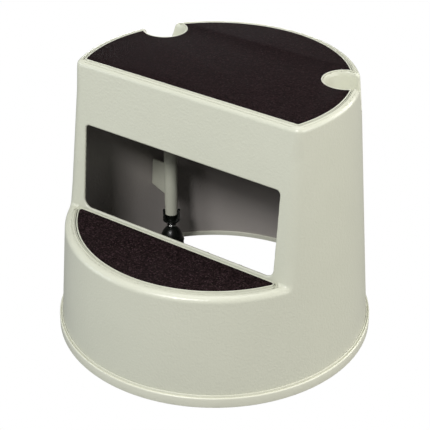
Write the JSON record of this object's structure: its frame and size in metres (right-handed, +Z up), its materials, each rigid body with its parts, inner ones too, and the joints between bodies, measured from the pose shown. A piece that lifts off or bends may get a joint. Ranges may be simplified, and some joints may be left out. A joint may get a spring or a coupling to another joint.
{
  "type": "rolling step stool",
  "caption": "Round moulded two-tread step stool that rolls on sprung casters and settles on its base ring under load.",
  "frame": {"origin": "on the floor under the middle of the drum, with the casters down", "axes": "+Z up; the half-moon step faces -Y; +X is to the right of someone who faces the step's front from behind it, looking along +Y"},
  "size_m": [0.416, 0.416, 0.3564],
  "materials": {
    "shell": "satin moulded plastic, grey-green beige, fine grain",
    "ring": "satin vinyl, slightly smoother than the shell",
    "grit": "mineral grit tread, near black with a brown-violet cast",
    "black": "black nylon, low sheen",
    "wheel": "black nylon, scuffed tread",
    "steel": "bright turned steel",
    "zinc": "zinc-plated steel"
  },
  "bodies": {
    "drum": {"body_shell": "shell", "base_ring": "ring", "top_tread_mat": "grit", "step_tread_mat": "grit", "front_tower": "shell", "front_tower_screw_a": "zinc", "front_tower_screw_b": "zinc", "front_spring": "zinc", "rear_left_tower": "shell", "rear_left_tower_screw_a": "zinc", "rear_left_tower_screw_b": "zinc", "rear_left_spring": "zinc", "rear_right_tower": "shell", "rear_right_tower_screw_a": "zinc", "rear_right_tower_screw_b": "zinc", "rear_right_spring": "zinc"},
    "front_plunger": {"front_carrier": "black", "front_stem": "steel", "front_bearing_washer": "steel"},
    "front_swivel": {"front_hood": "black", "front_axle": "steel"},
    "front_wheel_a": {"front_wheel_a": "wheel"},
    "front_wheel_b": {"front_wheel_b": "wheel"},
    "rear_left_plunger": {"rear_left_carrier": "black", "rear_left_stem": "steel", "rear_left_bearing_washer": "steel"},
    "rear_left_swivel": {"rear_left_hood": "black", "rear_left_axle": "steel"},
    "rear_left_wheel_a": {"rear_left_wheel_a": "wheel"},
    "rear_left_wheel_b": {"rear_left_wheel_b": "wheel"},
    "rear_right_plunger": {"rear_right_carrier": "black", "rear_right_stem": "steel", "rear_right_bearing_washer": "steel"},
    "rear_right_swivel": {"rear_right_hood": "black", "rear_right_axle": "steel"},
    "rear_right_wheel_a": {"rear_right_wheel_a": "wheel"},
    "rear_right_wheel_b": {"rear_right_wheel_b": "wheel"}
  },
  "joints": [
    {"name": "front_retract", "type": "slide", "parent": "drum", "child": "front_plunger", "axis": [0, 0, 1], "range_m": [0, 0.009], "stiffness_N_per_m": 3000, "springref_m": -0.0083, "deforming": ["front_spring"]},
    {"name": "front_swivel", "type": "hinge", "parent": "front_plunger", "child": "front_swivel", "pos_m": [0, -0.15, 0.05], "axis": [0, 0, 1], "continuous": true},
    {"name": "front_wheel_a_spin", "type": "hinge", "parent": "front_swivel", "child": "front_wheel_a", "pos_m": [0.00588, -0.15809, 0.0195], "axis": [0.809, 0.5878, 0], "continuous": true},
    {"name": "front_wheel_b_spin", "type": "hinge", "parent": "front_swivel", "child": "front_wheel_b", "pos_m": [0.00588, -0.15809, 0.0195], "axis": [0.809, 0.5878, 0], "continuous": true},
    {"name": "rear_left_retract", "type": "slide", "parent": "drum", "child": "rear_left_plunger", "axis": [0, 0, 1], "range_m": [0, 0.009], "stiffness_N_per_m": 3000, "springref_m": -0.0083, "deforming": ["rear_left_spring"]},
    {"name": "rear_left_swivel", "type": "hinge", "parent": "rear_left_plunger", "child": "rear_left_swivel", "pos_m": [-0.1299, 0.075, 0.05], "axis": [0, 0, 1], "continuous": true},
    {"name": "rear_left_wheel_a_spin", "type": "hinge", "parent": "rear_left_swivel", "child": "rear_left_wheel_a", "pos_m": [-0.12403, 0.06691, 0.0195], "axis": [0.809, 0.5878, 0], "continuous": true},
    {"name": "rear_left_wheel_b_spin", "type": "hinge", "parent": "rear_left_swivel", "child": "rear_left_wheel_b", "pos_m": [-0.12403, 0.06691, 0.0195], "axis": [0.809, 0.5878, 0], "continuous": true},
    {"name": "rear_right_retract", "type": "slide", "parent": "drum", "child": "rear_right_plunger", "axis": [0, 0, 1], "range_m": [0, 0.009], "stiffness_N_per_m": 3000, "springref_m": -0.0083, "deforming": ["rear_right_spring"]},
    {"name": "rear_right_swivel", "type": "hinge", "parent": "rear_right_plunger", "child": "rear_right_swivel", "pos_m": [0.1299, 0.075, 0.05], "axis": [0, 0, 1], "continuous": true},
    {"name": "rear_right_wheel_a_spin", "type": "hinge", "parent": "rear_right_swivel", "child": "rear_right_wheel_a", "pos_m": [0.13578, 0.06691, 0.0195], "axis": [0.809, 0.5878, 0], "continuous": true},
    {"name": "rear_right_wheel_b_spin", "type": "hinge", "parent": "rear_right_swivel", "child": "rear_right_wheel_b", "pos_m": [0.13578, 0.06691, 0.0195], "axis": [0.809, 0.5878, 0], "continuous": true}
  ]
}
